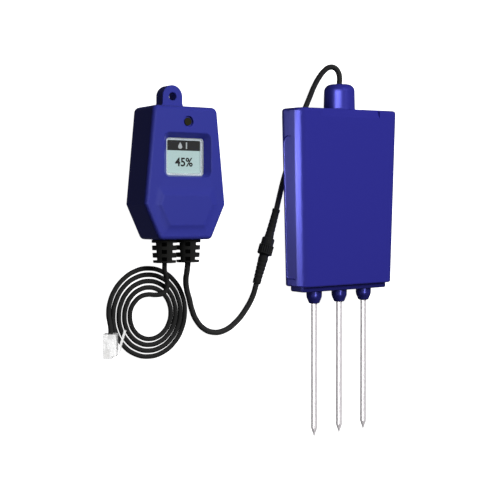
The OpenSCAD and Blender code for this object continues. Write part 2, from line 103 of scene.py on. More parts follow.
PLUG = (-35.4, -81.4, 5.85)
PLUG_ROLL = math.radians(33)
PLUG_SIZE = (6.6, 12.3, 9.65)
LATCH_W = 3.2
LATCH_T = 1.1
LATCH_L = 12
LATCH_TILT = math.radians(17)
CONTACT_PITCH = 1.02
SLEEVE_END = 14.6
NUT_START = 16.6
NUT_END = 22
NUT_R = 4.1
RING_END = 26.2
CONNECTOR_END = 42.7

PROBE = (
    Matrix.Translation((104.8, -60.35, 1.1))
    @ Matrix.Rotation(math.radians(0.9), 4, "Z")
    @ Matrix.Rotation(math.radians(2.1), 4, "Y")
    @ Matrix.Rotation(math.radians(1), 4, "X")
)
CONNECTOR = (
    Matrix.Translation((54, -59, 4.2))
    @ Matrix.Rotation(math.radians(72), 4, "Z")
    @ Matrix.Rotation(math.radians(90), 4, "Y")
)

SENSOR_CORD_LOWER = [
    (6.9, -42, 10.7), (6.9, -46, 10.7), (7, -50, 9.8), (7.8, -55.5, 7), (9.8, -61, 4.6), (12.2, -66, 3),
    (14.3, -71.5, 1.9), (17.3, -77.5, 1.6), (22.1, -82.4, 1.6), (28, -84.6, 1.6), (34.8, -84, 1.6),
    (42, -80, 1.6), (48.4, -73.3, 1.8), (52.1, -66.2, 3.1), (54, -59, 4.2), (55.2, -55.3, 4.2),
]
SENSOR_CORD_UPPER = [
    (66, -22.1, 4.2), (67.2, -18.4, 4.2), (70.2, -11, 2.8), (73.6, -2.2, 1.6), (76.8, 6.9, 1.6),
    (79.6, 15.6, 1.6), (82.4, 24, 1.6), (85.5, 32.5, 1.6), (89.5, 40.6, 1.6), (91.8, 46, 2.1),
    (93.3, 51, 3.6), (95, 55.6, 5.6), (97.1, 59.4, 7.8), (99.4, 61.4, 9.8), (101.7, 61, 11.6),
    (103.2, 58.5, 13), (103.6, 55, 13.6), (103.5, 51.7, 13.5), (103.6, 46, 13.4), (103.7, 40, 13.3),
    (103.8, 33.5, 13.2), (103.9, 27.5, 13.1),
]
DATA_CORD_LEAD = [
    (-6.9, -42, 10.7), (-6.9, -46, 10.7), (-6.3, -49.6, 9.6), (-4, -53.4, 6.9), (-2.2, -57, 4.8),
    (-2.2, -60.3, 4), (-4.6, -62.5, 3.6), (-7.9, -63, 2.6), (-11.3, -62.7, 1.6), (-15.6, -63.5, 1.3),
    (-19.3, -66.3, 1.3), (-21.5, -69.6, 1.3),
]
DATA_CORD_TAIL = [
    (-18.9, -50.3, 1.3), (-25.6, -54.1, 1.3), (-30.8, -59.9, 1.3), (-33.6, -66.2, 1.3), (-34.6, -71.8, 1.9),
    (-35, -75.8, 3.9), (-35.3, -79.1, 5.6), (-35.4, -81.4, 5.85), (-35.4, -84, 5.85),
]
COIL_CENTRE = (-10.85, -73.35)
COIL_DRIFT = (-0.165, 0.13)
COIL_START_R = 11.25
COIL_PITCH = 3.03
COIL_STRETCH = 1.05
COIL_TURNS = 3.75
COIL_POINTS_A_TURN = 16


# Outlines: lists of (point, outward direction), counter-clockwise.
def rounded(points, radii, steps=8):
    """A convex outline with each corner rounded to its own radius."""
    outline = []
    for k, corner in enumerate(points):
        b = Vector(corner)
        u = (Vector(points[k - 1]) - b).normalized()
        v = (Vector(points[(k + 1) % len(points)]) - b).normalized()
        half = u.angle(v) / 2
        middle = b + (u + v).normalized() * radii[k] / math.sin(half)
        start = b + u * radii[k] / math.tan(half) - middle
        end = b + v * radii[k] / math.tan(half) - middle
        first = math.atan2(start.y, start.x)
        turn = (math.atan2(end.y, end.x) - first + math.pi) % math.tau - math.pi
        for i in range(steps + 1):
            a = first + turn * i / steps
            out = Vector((math.cos(a), math.sin(a)))
            outline.append((middle + out * radii[k], out))
    return outline


def rectangle(width, height, radius, centre=(0, 0), steps=8):
    """A rectangle with round corners."""
    x, y = centre
    w, h = width / 2, height / 2
    corners = [(x + w, y + h), (x - w, y + h), (x - w, y - h), (x + w, y - h)]
    return rounded(corners, [radius] * 4, steps)


def circle(radius, centre=(0, 0), sides=48):
    """A circle as an outline."""
    turns = [math.tau * k / sides for k in range(sides)]
    outs = [Vector((math.cos(a), math.sin(a))) for a in turns]
    return [(Vector(centre) + out * radius, out) for out in outs]


def soft_ends(low, high, low_r, high_r, steps=6):
    """(height, inset) levels of a slab whose two ends are rounded."""
    levels = []
    for i in range(steps + 1 if low_r else 1):
        a = math.pi / 2 * i / steps
        levels.append((low + low_r * (1 - math.sin(a)), low_r * (1 - math.cos(a))))
    levels.reverse()
    for i in range(steps + 1 if high_r else 1):
        a = math.pi / 2 * i / steps
        levels.append((high - high_r + high_r * math.sin(a), high_r * (1 - math.cos(a))))
    return levels


def arc(x, y, radius, end, steps):
    """Points of an arc from angle zero, which is left out, to an end angle."""
    turns = [end * k / steps for k in range(1, steps + 1)]
    return [(x + radius * math.cos(a), y + radius * math.sin(a)) for a in turns]


# Meshes: (points, faces), in millimetres.
def loft(rings):
    """A closed skin over rings of as many points each, counter-clockwise seen from the last ring's side."""
    n = len(rings[0])
    points = [p for ring in rings for p in ring]
    faces = [tuple(reversed(range(n))), tuple(range(len(points) - n, len(points)))]
    for i in range(len(rings) - 1):
        for k in range(n):
            a, b = i * n + k, i * n + (k + 1) % n
            faces.append((a, b, b + n, a + n))
    return points, faces


def slab(outline, levels):
    """An outline in XY, stacked along Z at (height, inset) levels."""
    return loft([[(*(p - out * inset), z) for p, out in outline] for z, inset in levels])


def prism(outline, low, high):
    """An outline in XY, straight from one height to another."""
    return slab(outline, [(low, 0), (high, 0)])


def block(low, high, edge=0.0):
    """A box between two corners, with rounded edges all round its top and bottom."""
    size = [b - a for a, b in zip(low, high)]
    centre = ((low[0] + high[0]) / 2, (low[1] + high[1]) / 2)
    outline = rectangle(size[0], size[1], max(edge, 0.01), centre, 4)
    return slab(outline, soft_ends(low[2], high[2], edge, edge, 4))


def soften(points, radius, steps=4):
    """A polyline with its inner corners rounded, as far as its neighbours leave room."""
    points = [Vector(p) for p in points]
    soft = [points[0]]
    for a, b, c in zip(points, points[1:], points[2:]):
        cut = min(radius, (a - b).length / 2, (c - b).length / 2)
        start, end = b + (a - b).normalized() * cut, b + (c - b).normalized() * cut
        for i in range(steps + 1):
            t = i / steps
            soft.append(start * (1 - t) ** 2 + b * 2 * t * (1 - t) + end * t**2)
    return soft + [points[-1]]


def lathe(profile, sides=96, flutes=0, closed=False):
    """A profile of (radius, height) or (radius, height, flute depth), turned round Z."""
    rows = [(p[0], p[1], p[2] if len(p) > 2 else 0.0) for p in profile]
    points, faces = [], []
    for radius, height, depth in rows:
        for k in range(sides):
            a = math.tau * k / sides
            r = radius - depth * (0.5 + 0.5 * math.cos(flutes * a))
            points.append((r * math.cos(a), r * math.sin(a), height))
    count = len(rows)
    for i in range(count if closed else count - 1):
        for k in range(sides):
            a, b = i * sides + k, i * sides + (k + 1) % sides
            up = ((i + 1) % count - i) * sides
            faces.append((a, b, b + up, a + up))
    if not closed:
        faces.append(tuple(reversed(range(sides))))
        faces.append(tuple(range(len(points) - sides, len(points))))
    return points, faces


def moved(shape, place):
    """A shape put somewhere else."""
    points, faces = shape
    return [tuple(place @ Vector(p)) for p in points], faces


def joined(shapes):
    """Several shapes as one mesh, with nothing cut between them."""
    points, faces = [], []
    for some_points, some_faces in shapes:
        start = len(points)
        points += some_points
        faces += [tuple(i + start for i in face) for face in some_faces]
    return points, faces


def mesh_of(name, shape):
    """A Blender mesh, still in millimetres, with its faces turned outwards."""
    points, faces = shape
    mesh = bpy.data.meshes.new(name)
    mesh.from_pydata(points, [], faces)
    work = bmesh.new()
    work.from_mesh(mesh)
    bmesh.ops.remove_doubles(work, verts=work.verts, dist=1e-5)
    bmesh.ops.recalc_face_normals(work, faces=work.faces)
    work.to_mesh(mesh)
    work.free()
    return mesh


def shape_of(mesh):
    """A finished mesh as a shape again, for the next cuts."""
    return [tuple(v.co) for v in mesh.vertices], [tuple(f.vertices) for f in mesh.polygons]


def solid(name, base, adds=(), cuts=()):
    """The mesh of a base shape with other shapes joined to it and cut from it."""
    carrier = bpy.data.objects.new(name, mesh_of(name, base))
    bpy.context.scene.collection.objects.link(carrier)
    helpers = []
    for operation, shapes in (("UNION", adds), ("DIFFERENCE", cuts)):
        for shape in shapes:
            helper = bpy.data.objects.new("helper", mesh_of("helper", shape))
            bpy.context.scene.collection.objects.link(helper)
            helpers.append(helper)
            step = carrier.modifiers.new(operation, "BOOLEAN")
            step.operation = operation
            step.solver = "EXACT"
            step.object = helper
    bpy.context.view_layer.update()
    ready = carrier.evaluated_get(bpy.context.evaluated_depsgraph_get())
    mesh = bpy.data.meshes.new_from_object(ready)
    for helper in [carrier, *helpers]:
        spare = helper.data
        bpy.data.objects.remove(helper)
        bpy.data.meshes.remove(spare)
    return mesh


def piece(name, shape, slot, place=HERE, body="root", replaces=(), look=None):
    """A named piece of the object, from a shape or a finished mesh in millimetres.
    It looks like its slot, unless another look is named."""
    mesh = shape if isinstance(shape, bpy.types.Mesh) else mesh_of(name, shape)
    mesh.name = name
    mesh.transform(METRES @ place)
    mesh.materials.clear()
    mesh.materials.append(MATERIALS[look or slot])
    mesh.shade_smooth()
    mesh.set_sharp_from_angle(angle=SHARP_ANGLE)
    made = bpy.data.objects.new(name, mesh)
    bpy.context.scene.collection.objects.link(made)
    shading = made.modifiers.new("flat faces stay flat", "WEIGHTED_NORMAL")
    shading.keep_sharp = True
    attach(made, body)
    if replaces:
        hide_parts(*replaces)
    return made


# Materials: one for each slot of the record.
def finish(name, color, roughness, grain=0.0, grain_size=0.0006, mottle=0.0, **extra):
    """A Principled surface. Grain is a fine bump, and mottle makes the roughness uneven."""
    material = bpy.data.materials.new(name)
    material.use_nodes = True
    nodes, links = material.node_tree.nodes, material.node_tree.links
    shader = nodes["Principled BSDF"]
    shader.inputs["Base Color"].default_value = (*color, 1)
    shader.inputs["Roughness"].default_value = roughness
    for socket, value in extra.items():
        shader.inputs[socket.replace("_", " ")].default_value = value
    if not grain and not mottle:
        return material
    where = nodes.new("ShaderNodeTexCoord")
    noise = nodes.new("ShaderNodeTexNoise")
    noise.inputs["Scale"].default_value = 1 / grain_size
    noise.inputs["Detail"].default_value = 3
    links.new(where.outputs["Object"], noise.inputs["Vector"])
    if grain:
        bump = nodes.new("ShaderNodeBump")
        bump.inputs["Strength"].default_value = grain
        bump.inputs["Distance"].default_value = grain_size / 8
        links.new(noise.outputs["Fac"], bump.inputs["Height"])
        links.new(bump.outputs["Normal"], shader.inputs["Normal"])
    if mottle:
        spread = nodes.new("ShaderNodeMapRange")
        spread.inputs["To Min"].default_value = roughness - mottle
        spread.inputs["To Max"].default_value = roughness + mottle
        links.new(noise.outputs["Fac"], spread.inputs["Value"])
        links.new(spread.outputs["Result"], shader.inputs["Roughness"])
    return material


READER_TINT = (0.45, 0.5, 1, 1)
PROBE_TINT = (0.35, 0.38, 1, 1)
MATERIALS = {
    "reader_blue": finish(
        "reader_blue", (0.041, 0.048, 0.37), 0.38, 0.10, 0.0004, 0.04, Specular_Tint=READER_TINT
    ),
    "probe_blue": finish(
        "probe_blue", (0.034, 0.034, 0.33), 0.34, 0.08, 0.0004, 0.03, Metallic=0.15, Specular_Tint=PROBE_TINT
    ),
    "base_blue": finish(
        "base_blue", (0.020, 0.020, 0.17), 0.26, 0.08, 0.0004, 0.03, Metallic=0.25, Specular_Tint=PROBE_TINT
    ),
    "seal_rubber": finish("seal_rubber", (0.02, 0.02, 0.02), 0.6, 0.2),
    "window_clear": finish("window_clear", (1, 1, 1), 0.15, Alpha=0.02, Specular_IOR_Level=0.15),
    "frame_white": finish("frame_white", (0.80, 0.90, 0.95), 0.4, Specular_IOR_Level=0.2),
    "display_glass": finish("display_glass", (0.33, 0.45, 0.44), 0.5, Specular_IOR_Level=0.2),
    "display_ink": finish("display_ink", (0.004, 0.004, 0.004), 0.7, Specular_IOR_Level=0.05),
    "display_light": finish("display_light", (0.55, 0.60, 0.60), 0.5),
    "board_green": finish("board_green", (0.01, 0.10, 0.035), 0.4, 0.1, 0.002),
    "component_black": finish("component_black", (0.02, 0.02, 0.022), 0.5, 0.2),
    "button_grey": finish("button_grey", (0.030, 0.028, 0.013), 0.6, 0.15, Specular_IOR_Level=0.2),
    "screw_steel": finish("screw_steel", (0.55, 0.55, 0.57), 0.35, 0.1, Metallic=1),
    "relief_black": finish("relief_black", (0.020, 0.020, 0.019), 0.55, 0.35, 0.0007, 0.08),
    "cord_black": finish("cord_black", (0.038, 0.038, 0.038), 0.5, 0.22, 0.0006, 0.08),
    "data_cord_black": finish("data_cord_black", (0.030, 0.030, 0.030), 0.5, 0.22, 0.0006, 0.08),
    "sleeve_black": finish("sleeve_black", (0.022, 0.022, 0.022), 0.5, 0.25, 0.0006, 0.06),
    "connector_black": finish("connector_black", (0.022, 0.022, 0.022), 0.45, 0.2, 0.0006, 0.05),
    "nut_black": finish("nut_black", (0.022, 0.022, 0.022), 0.42, 0.2, 0.0006, 0.05),
    "contact_brass": finish("contact_brass", (0.90, 0.78, 0.52), 0.3, Metallic=0.4),
    "pin_steel": finish("pin_steel", (0.72, 0.69, 0.71), 0.3, 0.04, 0.0008, 0.04, Metallic=0.3),
    "potting_black": finish("potting_black", (0.01, 0.01, 0.01), 0.2),
    "plug_clear": finish("plug_clear", (1, 1, 1), 0.15, Alpha=0.6),
}

record = frame["record"]
for part in record["subparts"]:
    node = frame["nodes"][part["node"]]
    node.data.materials.clear()
    node.data.materials.append(MATERIALS[part["material_slot"]])


# Cords: the same routes as their CAD solids.
def cord(name, route, diameter, slot, *nodes):
    """A round cord whose middle line goes smoothly through the route."""
    curve = bpy.data.curves.new(name, "CURVE")
    curve.dimensions = "3D"
    curve.resolution_u = 8
    curve.bevel_depth = diameter / 2000
    curve.bevel_resolution = 6
    curve.use_fill_caps = True
    line = curve.splines.new("BEZIER")
    line.bezier_points.add(len(route) - 1)
    for knot, place in zip(line.bezier_points, route):
        knot.co = METRES @ Vector(place)
        knot.handle_left_type = knot.handle_right_type = "AUTO"
    curve.materials.append(MATERIALS[slot])
    made = bpy.data.objects.new(name, curve)
    bpy.context.scene.collection.objects.link(made)
    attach(made, "root")
    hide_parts(*nodes)
    return made


def coil_point(k):
    """A point of the data cord's coil, which grows outwards counter-clockwise."""
    t = k / COIL_POINTS_A_TURN
    a = math.pi + math.tau * t
    r = COIL_START_R + COIL_PITCH * t
    x = COIL_CENTRE[0] + COIL_DRIFT[0] * t + r * math.cos(a)
    y = COIL_CENTRE[1] + COIL_DRIFT[1] * t + COIL_STRETCH * r * math.sin(a)
    return (x, y, DATA_CORD_D / 2)


coil = [coil_point(k) for k in range(int(COIL_TURNS * COIL_POINTS_A_TURN) + 1)]
sensor_cord_lower = cord(
    "sensor_cord_reader_side", SENSOR_CORD_LOWER, SENSOR_CORD_D, "cord_black", "sensor_cord_lower"
)
sensor_cord_upper = cord(
    "sensor_cord_probe_side", SENSOR_CORD_UPPER, SENSOR_CORD_D, "cord_black", "sensor_cord_upper"
)
data_cord = cord(
    "data_cord", DATA_CORD_LEAD + coil + DATA_CORD_TAIL, DATA_CORD_D, "data_cord_black",
    "data_cord_lead", "data_cord_coil", "data_cord_tail",
)


# Reader housing.
def reader_outline(steps=8):
    """The reader's hexagon, with a narrow top and a chamfered bottom."""
    left = [(-READER_TOP_HALF_W, HALF_H), (-READER_HALF_W, SHOULDER_Y), (-READER_BOTTOM_HALF_W, -HALF_H)]
    right = [(-x, y) for x, y in reversed(left)]
    return rounded(left + right, [3.2, 2.4, 3, 3, 2.4, 3.2], steps)


def screen_outline(margin, radius):
    """The outline of the display with a margin."""
    return rectangle(SCREEN[0] + margin, SCREEN[1] + margin, radius, (PANEL_X, SCREEN_Y))


def along_y(shape, x, y, z):
    """A shape made along Z, turned to lie along +Y from a point."""
    return moved(shape, Matrix.Translation((x, y, z)) @ Matrix.Rotation(-math.pi / 2, 4, "X"))


def relief_holes():
    """The holes of both strain reliefs in the bottom wall."""
    hole = prism(circle(4.6), 0, WALL + 2)
    return [along_y(hole, side * RELIEF_X, -HALF_H - 1, SPLIT_Z) for side in (-1, 1)]


outer = reader_outline()
FRONT_EDGE = [(READER_D - 2, 0), (READER_D - 1.45, 0.12), (READER_D - 0.95, 0.38), (READER_D - 0.5, 0.78)]
FRONT_EDGE += [(READER_D - 0.2, 1.25), (READER_D - 0.04, 1.75), (READER_D, 2.2)]
PANEL_FOOT = [(-16.8, -6.5), (-18.9, -16), (-12.2, -29.6), (12.2, -29.6), (18.9, -16), (16.8, -6.5)]
PANEL_LAND = [(-13.6, -11), (-15.4, -16.2), (-10, -26.8), (10, -26.8), (15.4, -16.2), (13.6, -11)]
foot = rounded(PANEL_FOOT, [1.5] * 6, 5)
land = rounded(PANEL_LAND, [1.2] * 6, 5)
raised_panel = loft(
    [
        [(*p, READER_D - 0.6) for p, out in foot],
        [(*p, READER_D - 0.02) for p, out in foot],
        [(*(a[0] * 0.12 + b[0] * 0.88), READER_D + 0.98) for a, b in zip(foot, land)],
        [(*(p - out * 0.25), READER_D + 1.14) for p, out in land],
        [(*(p - out * 0.9), READER_D + 1.2) for p, out in land],
    ]
)
mouth = rectangle(*WELL_MOUTH, 3.4, (PANEL_X, WELL_MOUTH_Y))
pocket = screen_outline(0.5, 1.6)
screen_mouth = loft(
    [
        [(*p, WINDOW_TOP - 0.1) for p, out in pocket],
        [(*p, WINDOW_TOP + 0.1) for p, out in pocket],
        [(*(a[0] * 0.1 + b[0] * 0.9), READER_D - 0.32) for a, b in zip(pocket, mouth)],
        [(*(p + out * 0.12), READER_D - 0.1) for p, out in mouth],
        [(*(p + out * 0.5), READER_D + 0.04) for p, out in mouth],
        [(*(p + out * 0.5), READER_D + 0.5) for p, out in mouth],
    ]
)
well_walls = prism(rectangle(31.6, 26.4, 2.5, (PANEL_X, SCREEN_Y + 0.5)), WELL_FLOOR, READER_D - 1)
reader_front = solid(
    "reader_front",
    slab(outer, [(SPLIT_Z, 0), *FRONT_EDGE]),
    adds=[raised_panel],
    cuts=[prism([(p - out * WALL, out) for p, out in outer], SPLIT_Z - 1, READER_D - WALL)],
)
reader_front = solid(
    "reader_front",
    shape_of(reader_front),
    adds=[well_walls, *(prism(circle(2.9, p), SPLIT_Z, READER_D - 1.5) for p in BOSSES)],
    cuts=[
        screen_mouth,
        prism(screen_outline(0.4, 1.5), WELL_FLOOR - 1, 20),
        prism(screen_outline(3, 0.8), WELL_FLOOR - 1, WINDOW_TOP),
        moved(
            lathe([(2.5, -1.2), (2.7, -0.4), (2.85, -0.15), (3.15, 0.01), (3.15, 1)], 64),
            Matrix.Translation((*BUTTON, READER_D)),
        ),
        prism(circle(2.05, BUTTON), SPLIT_Z, READER_D + 1),
        *(prism(circle(1.3, p), SPLIT_Z - 1, SPLIT_Z + 6) for p in BOSSES),
        *relief_holes(),
    ],
)
piece("reader_front_shell", reader_front, "reader_blue", replaces=["reader_front_cover"])


def tab_outline(steps=20):
    """The hanging tab with its flared foot."""
    turns = [math.pi * k / steps for k in range(steps + 1)]
    rim = [(TAB_R * math.cos(a), TAB_Y + TAB_R * math.sin(a)) for a in turns]
    reach = TAB_R + TAB_FLARE
    foot_y = HALF_H + TAB_FLARE
    foot_steps = steps // 2
    foot_turns = [-0.5 * math.pi * k / foot_steps for k in range(foot_steps + 1)]
    left = [(-reach + TAB_FLARE * math.cos(a), foot_y + TAB_FLARE * math.sin(a)) for a in foot_turns]
    right = [(-x, y) for x, y in reversed(left)]
    return rim + left + [(-reach, HALF_H - 3), (reach, HALF_H - 3)] + right


def tab_slab():
    """The tab as a slab with softened edges. Each point's direction comes from its two neighbours."""
    points = [Vector(p) for p in tab_outline()]
    outline = []
    for k, p in enumerate(points):
        ahead = points[(k + 1) % len(points)] - points[k - 1]
        outline.append((p, Vector((ahead.y, -ahead.x)).normalized()))
    return slab(outline, soft_ends(0, TAB_T, 0.5, 0.5, 4))


rear = solid(
    "reader_rear",
    slab(outer, soft_ends(0, SPLIT_Z, 1, 0)),
    adds=[tab_slab()],
    cuts=[prism([(p - out * WALL, out) for p, out in outer], 2, SPLIT_Z + 1)],
)
rear = solid(
    "reader_rear",
    shape_of(rear),
    adds=[
        *(prism(circle(2.9, p), 1, SPLIT_Z) for p in BOSSES),
        *(prism(circle(2.2, p), 1, BOARD_Z) for p in POSTS),
    ],
    cuts=[
        moved(
            lathe([(HANG_HOLE_R, -1), (HANG_HOLE_R, TAB_T - 0.25), (2.35, TAB_T), (2.45, TAB_T + 0.5)], 64),
            Matrix.Translation((0, TAB_Y, 0)),
        ),
        *(prism(circle(1.4, p), -1, SPLIT_Z + 1) for p in BOSSES),
        *(prism(circle(2.5, p), -1, 2.4) for p in BOSSES),
        *(prism(circle(1.05, p), BOARD_Z - 5, BOARD_Z + 1) for p in POSTS),
        *relief_holes(),
    ],
)
piece("reader_rear_shell", rear, "reader_blue", replaces=["reader_rear_cover"])


# Display content: a dark header band with a drop and a channel number, and the reading.
def lettering(name, text, height, centre, z, look):
    """A line of plain lettering on the display, a hair thick."""
    curve = bpy.data.curves.new(name, "FONT")
    curve.body = text
    curve.size = height / 0.7
    curve.align_x = "CENTER"
    curve.extrude = 0.015
    curve.offset = 0.15
    carrier = bpy.data.objects.new(name, curve)
    bpy.context.scene.collection.objects.link(carrier)
    bpy.context.view_layer.update()
    mesh = bpy.data.meshes.new_from_object(carrier.evaluated_get(bpy.context.evaluated_depsgraph_get()))
    bpy.data.objects.remove(carrier)
    bpy.data.curves.remove(curve)
    place = Matrix.Translation((centre[0], centre[1] - height / 2, z))
    return piece(name, mesh, "display_glass", place, look=look)


def drop_outline(width, height, centre, steps=40):
    """A drop of water with its point up."""
    outline = []
    for k in range(steps):
        a = math.tau * (k + 0.5) / steps
        x = -width * math.sin(a) * math.sin(a / 2) ** 1.5
        y = height * math.cos(a)
        outline.append((Vector((centre[0] + x, centre[1] + y)), Vector((0, 0))))
    return outline


HEADER_H = 5.2
INK_T = 0.03
FRAME_EDGES = 1.8
opening_w = SCREEN[0] - FRAME_EDGES
opening_h = SCREEN[1] - FRAME_EDGES
header_y = SCREEN_Y + opening_h / 2 - HEADER_H / 2
reading_y = SCREEN_Y - HEADER_H / 2
header_top = PANEL_TOP + INK_T
piece(
    "display_header",
    prism(rectangle(opening_w, HEADER_H, 0.6, (PANEL_X, header_y)), PANEL_TOP, header_top),
    "display_glass",
    look="display_ink",
)
lettering("display_reading", "45%", 4.3, (PANEL_X + 0.3, reading_y), PANEL_TOP + 0.02, "display_ink")
lettering("display_channel", "1", 3.1, (PANEL_X + 1.8, header_y), PANEL_TOP + 2 * INK_T, "display_light")
piece(
    "display_drop",
    prism(drop_outline(1.7, 1.7, (PANEL_X - 1.9, header_y)), header_top, PANEL_TOP + 2 * INK_T),
    "display_glass",
    look="display_light",
)


# Strain reliefs: a cone cut by wide slots on two opposite sides and by small windows on the other two.
def relief_slot(level, turn, wide, reach, tall):
    """A cutter from outside to a distance from the cone's axis, at a quarter turn."""
    outside = reach + 5
    cutter = block((reach, -wide / 2, level - tall), (outside, wide / 2, level + tall), 0.2)
    return moved(cutter, Matrix.Rotation(math.pi / 2 * turn + RELIEF_TURN, 4, "Z"))


def strain_relief(side, cord_d):
    """The ribbed strain relief with its flange inside the housing, along -Y from the reader's bottom."""
    profile = [(0.05, 0), (RELIEF_R, 0), (RELIEF_END_R, RELIEF_L), (0.05, RELIEF_L)]
    cone = lathe(soften(profile, 0.5, 4), 96)
    neck = RELIEF_NECK_R
    flange = [(0.05, -4.1), (6.2, -4.1), (6.2, -2.1), (neck, -2.1), (neck, 0.2), (0.05, 0.2)]
    slots = []
    for k in range(3):
        level = 2.3 + RELIEF_PITCH * k
        for turn in range(4):
            if turn % 2 == 0:
                slots.append(relief_slot(level, turn, 14.0, 4.3 - 0.25 * k, 0.75))
            else:
                slots.append(relief_slot(level, turn, 2.6, 2.9, 1.05))
    bore = prism(circle(cord_d / 2 + 0.1, sides=32), 8, 13)
    place = Matrix.Translation((side * RELIEF_X, -HALF_H - 0.1, SPLIT_Z))
    place = place @ Matrix.Rotation(math.pi / 2, 4, "X")
    return solid("relief", cone, adds=[lathe(flange, 72)], cuts=[*slots, bore]), place


for cord_name, side, cord_d in (("data", -1, DATA_CORD_D), ("sensor", 1, SENSOR_CORD_D)):
    relief, relief_place = strain_relief(side, cord_d)
    relief_node = cord_name + "_strain_relief"
    piece(cord_name + "_relief_rings", relief, "relief_black", relief_place, replaces=[relief_node])


# In-line connector: everything is turned round its own axis.
def ribbed(start, end, r_start, r_end, count, depth):
    """Profile of a tapering sleeve with shallow grooves."""
    profile = []
    for k in range(count):
        middle = start + (end - start) * (k + 0.5) / count
        r = r_start + (r_end - r_start) * (k + 0.5) / count
        profile += [(r, middle - 0.55), (r - depth, middle - 0.35)]
        profile += [(r - depth, middle + 0.35), (r, middle + 0.55)]
    return profile


BORE = SENSOR_CORD_D / 2 + 0.1
lower_sleeve = [
    (BORE, 4), (BORE, 0), (2.2, 0), *ribbed(2, 13, 2.25, 2.7, 5, 0.14), (2.8, SLEEVE_END),
    (0.05, SLEEVE_END), (0.05, 4),
]
upper_sleeve = [
    (0.05, RING_END), (2.5, RING_END), (2.5, 27.3), (2.4, 27.6), *ribbed(28.5, 38.5, 2.35, 2.1, 4, 0.1),
    (1.95, 40.9), (2.15, 41.1), (2.15, CONNECTOR_END), (BORE, CONNECTOR_END), (BORE, 38.7), (0.05, 38.7),
]
socket = [
    (2.0, 19.9), (3.1, 19.9), (3.1, 22.1), (3.5, 22.1), (3.5, 25.6), (2.9, RING_END), (0.05, RING_END),
    (0.05, 22.1), (2.0, 22.1),
]
# The nut's profile also gives the depth of its flutes at each point.
nut = [
    (2.7, NUT_START, 0), (3.7, NUT_START, 0), (NUT_R, 16.95, 0), (NUT_R, 17.2, 0), (NUT_R, 17.5, 0.5),
    (NUT_R, 21.1, 0.5), (NUT_R, 21.4, 0), (NUT_R, 21.7, 0), (3.8, NUT_END, 0), (3.18, NUT_END, 0),
    (3.18, 18.5, 0), (2.7, 18.5, 0),
]


def turned(name, profile, slot, node, body="root", flutes=0, sides=72, corner=0.12):
    """A piece of the connector, from its closed profile."""
    if not flutes:
        loop = [Vector(p) for p in profile]
        start = (loop[0] + loop[-1]) / 2
        profile = [tuple(p) for p in soften([start, *loop, start], corner, 3)][:-1]
    return piece(name, lathe(profile, sides, flutes, closed=True), slot, CONNECTOR, body, [node])


lower_name = "connector_sleeve_reader_side"
upper_name = "connector_sleeve_probe_side"
lower_piece = turned(lower_name, lower_sleeve, "sleeve_black", "connector_lower_sleeve")
upper_piece = turned(upper_name, upper_sleeve, "sleeve_black", "connector_upper_sleeve")
socket_piece = turned("connector_socket_ring", socket, "connector_black", "connector_socket")
nut_piece = turned("coupling_nut_knurled", nut, "nut_black", "coupling_nut", "nut", flutes=20, sides=200)


# Probe: its own frame has Y up along the case and Z out of its face.
def case_outline(y, inset=0.0, steps=12):
    """The case's section at a height, in the probe's X and Z."""
    share = y / CASE_H
    width = CASE_BOTTOM[0] + (CASE_TOP[0] - CASE_BOTTOM[0]) * share
    depth = CASE_BOTTOM[1] + (CASE_TOP[1] - CASE_BOTTOM[1]) * share
    half = width / 2 - inset
    low, high = inset, depth - inset
    back = max(CASE_BACK_R - inset, 0.5)
    front = max(CASE_FRONT_R - inset, 0.5)
    corners = [(half, low), (half, high), (-half, high), (-half, low)]
    return rounded(corners, [back, front, front, back], steps)


def case_loft(levels):
    """A skin over sections of the case at (height, inset) levels."""
    return loft([[(p.x, y, p.y) for p, out in case_outline(y, inset)] for y, inset in levels])


def side_grip(side):
    """The cutter of the long shallow hollow in a side wall."""
    w = GRIP_HALF_W
    outline = rounded([(4, -w), (83.2, -w), (83.2, w), (4, w)], [1.6, 5.1, 5.1, 1.6], 10)
    rings = []
    for x, inset in ((-GRIP_DEPTH, 0.7), (-0.75, 0.35), (0.05, 0), (4, 0)):
        rings.append([(side * x, p.x - out.x * inset, p.y - out.y * inset) for p, out in outline])
    lean = math.atan((CASE_TOP[0] - CASE_BOTTOM[0]) / 2 / CASE_H)
    place = Matrix.Translation((side * CASE_BOTTOM[0] / 2, 0, GRIP_Z))
    return moved(loft(rings), place @ Matrix.Rotation(-side * lean, 4, "Z"))


# The scoop's section: points along the case and out of its face.
SCOOP = [(92.8, 21.1), (93.8, 20.55), (94.8, 20.1), (99, 18.9), (99, 22)]
SCOOP_HALF_W = 21
scoop = loft([[(x, y, z) for y, z in SCOOP] for x in (-SCOOP_HALF_W, SCOOP_HALF_W)])
probe_case = solid(
    "probe_shell",
    case_loft(soft_ends(0, CASE_H, 0.9, 1.6)),
    cuts=[
        case_loft([(-0.5, 2), (2, 2), (CASE_H - WALL - 0.5, 2)]),
        side_grip(-1),
        side_grip(1),
        scoop,
        along_y(prism(circle(5.6), 0, 10), 0, CASE_H - 5, PIN_Z),
    ],
)
piece("probe_shell", probe_case, "probe_blue", PROBE, replaces=["probe_case"])

GLAND_BORE = SENSOR_CORD_D / 2 + 0.25
gland_profile = [
    (GLAND_NECK_R, -8), (GLAND_NECK_R, 0.02), (9.1, 0.02), (8.8, 0.6), (8.6, 9.6),
    *arc(4.6, 10.2, 4, math.pi / 2, 10), (2.1, GLAND_H), (GLAND_BORE, 13.9), (GLAND_BORE, 9),
    (3.6, 9), (3.6, -2), (GLAND_BORE, -2), (GLAND_BORE, -8),
]
upward = PROBE @ Matrix.Translation((0, CASE_H, PIN_Z)) @ Matrix.Rotation(-math.pi / 2, 4, "X")
piece("gland_dome", lathe(gland_profile, 128, closed=True), "probe_blue", upward, replaces=["cable_gland"])

